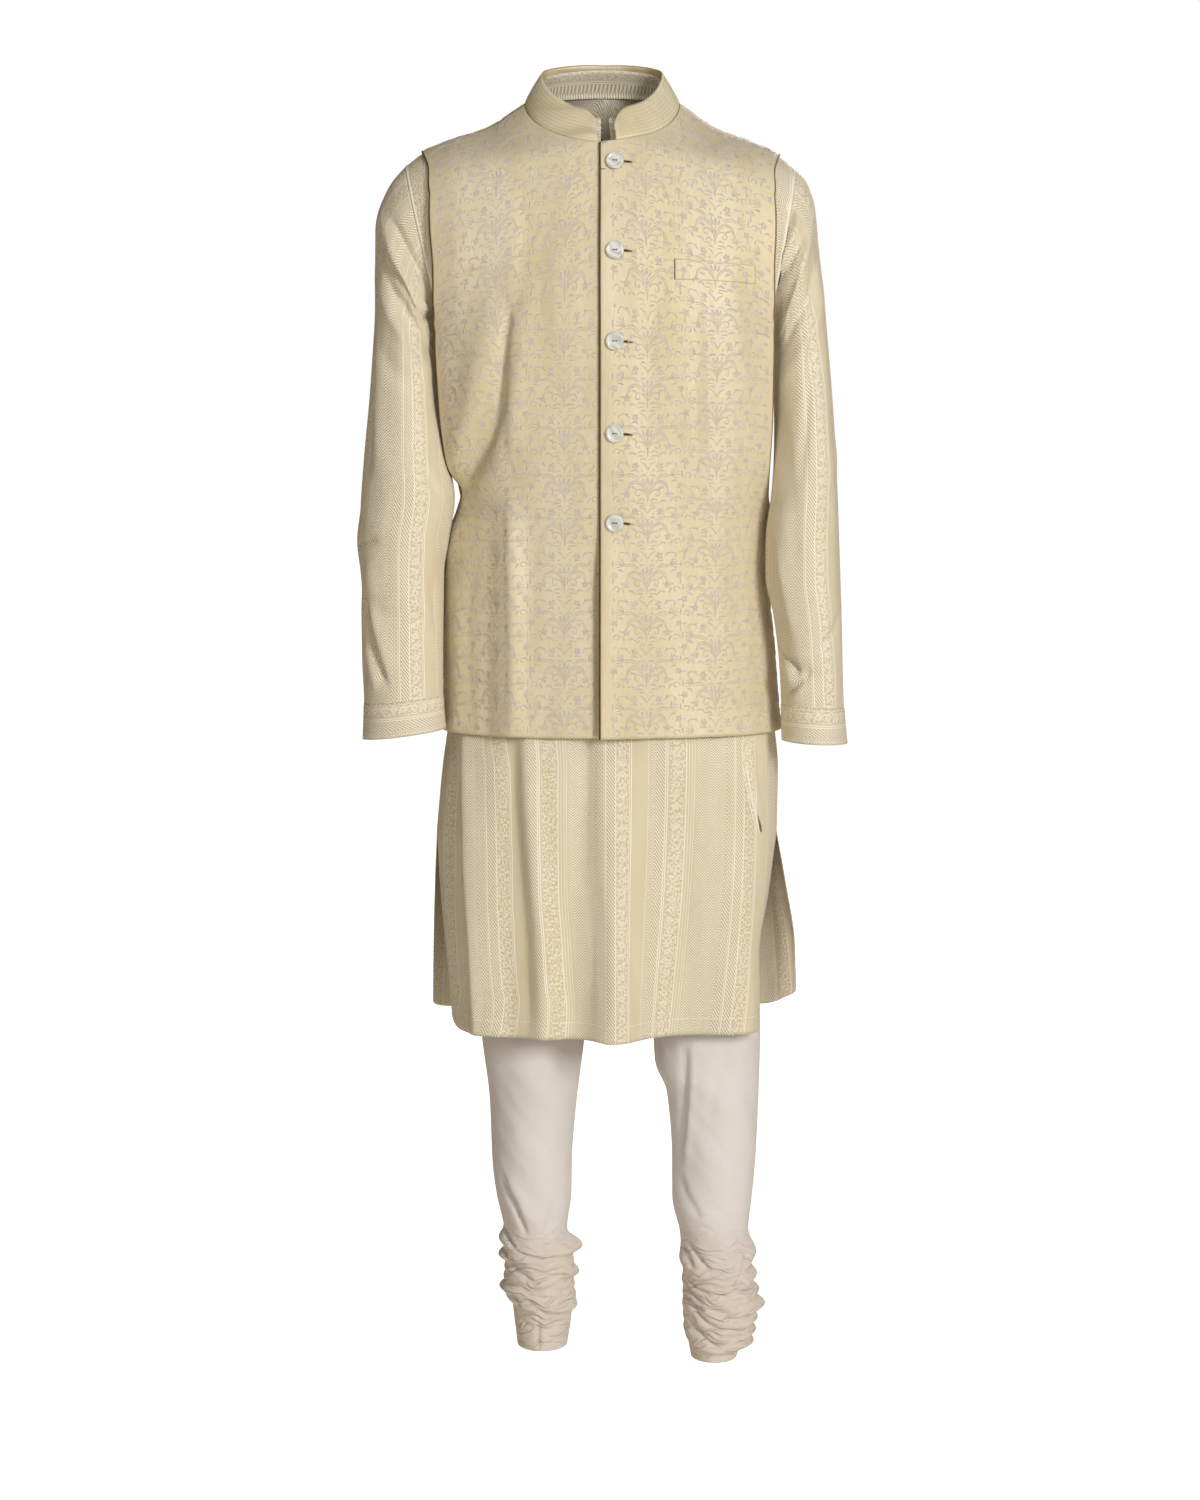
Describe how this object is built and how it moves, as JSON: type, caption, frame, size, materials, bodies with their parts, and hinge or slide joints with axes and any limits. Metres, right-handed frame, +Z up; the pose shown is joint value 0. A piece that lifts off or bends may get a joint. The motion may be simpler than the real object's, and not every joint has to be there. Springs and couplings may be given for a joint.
{
  "type": "kurta set with sleeveless band-collar jacket",
  "caption": "Men's dress set in a standing wearer's form: sleeveless band-collar buttoned jacket over a long-sleeved, side-slit kurta, with churidar trousers gathered at the ankles.",
  "frame": {"origin": "middle of the base of the neck, level with its sides, where the set rests on the wearer's shoulders", "axes": "+Z up along the body, -Y out of the chest, +X towards the wearer's left side"},
  "size_m": [0.5515, 0.2677, 1.4802],
  "materials": {
    "jacket_silk": "soft-sheen silk with embroidery",
    "jacket_collar_silk": "plain topstitched silk",
    "kurta_jacquard": "striped jacquard, silky",
    "churidar_cotton": "matt fine cotton",
    "mother_of_pearl": "polished shell"
  },
  "bodies": {
    "root": {"jacket_front_left": "jacket_silk", "jacket_front_right": "jacket_silk", "jacket_back": "jacket_silk", "jacket_collar": "jacket_collar_silk", "jacket_pocket_welt": "jacket_silk", "kurta_front": "kurta_jacquard", "kurta_back": "kurta_jacquard", "kurta_sleeve_left": "kurta_jacquard", "kurta_sleeve_right": "kurta_jacquard", "kurta_cuff_left": "kurta_jacquard", "kurta_cuff_right": "kurta_jacquard", "kurta_collar": "kurta_jacquard", "churidar_leg_left": "churidar_cotton", "churidar_leg_right": "churidar_cotton", "churidar_waistband": "churidar_cotton", "jacket_button_1": "mother_of_pearl", "jacket_button_2": "mother_of_pearl", "jacket_button_3": "mother_of_pearl", "jacket_button_4": "mother_of_pearl", "jacket_button_5": "mother_of_pearl"}
  },
  "joints": []
}
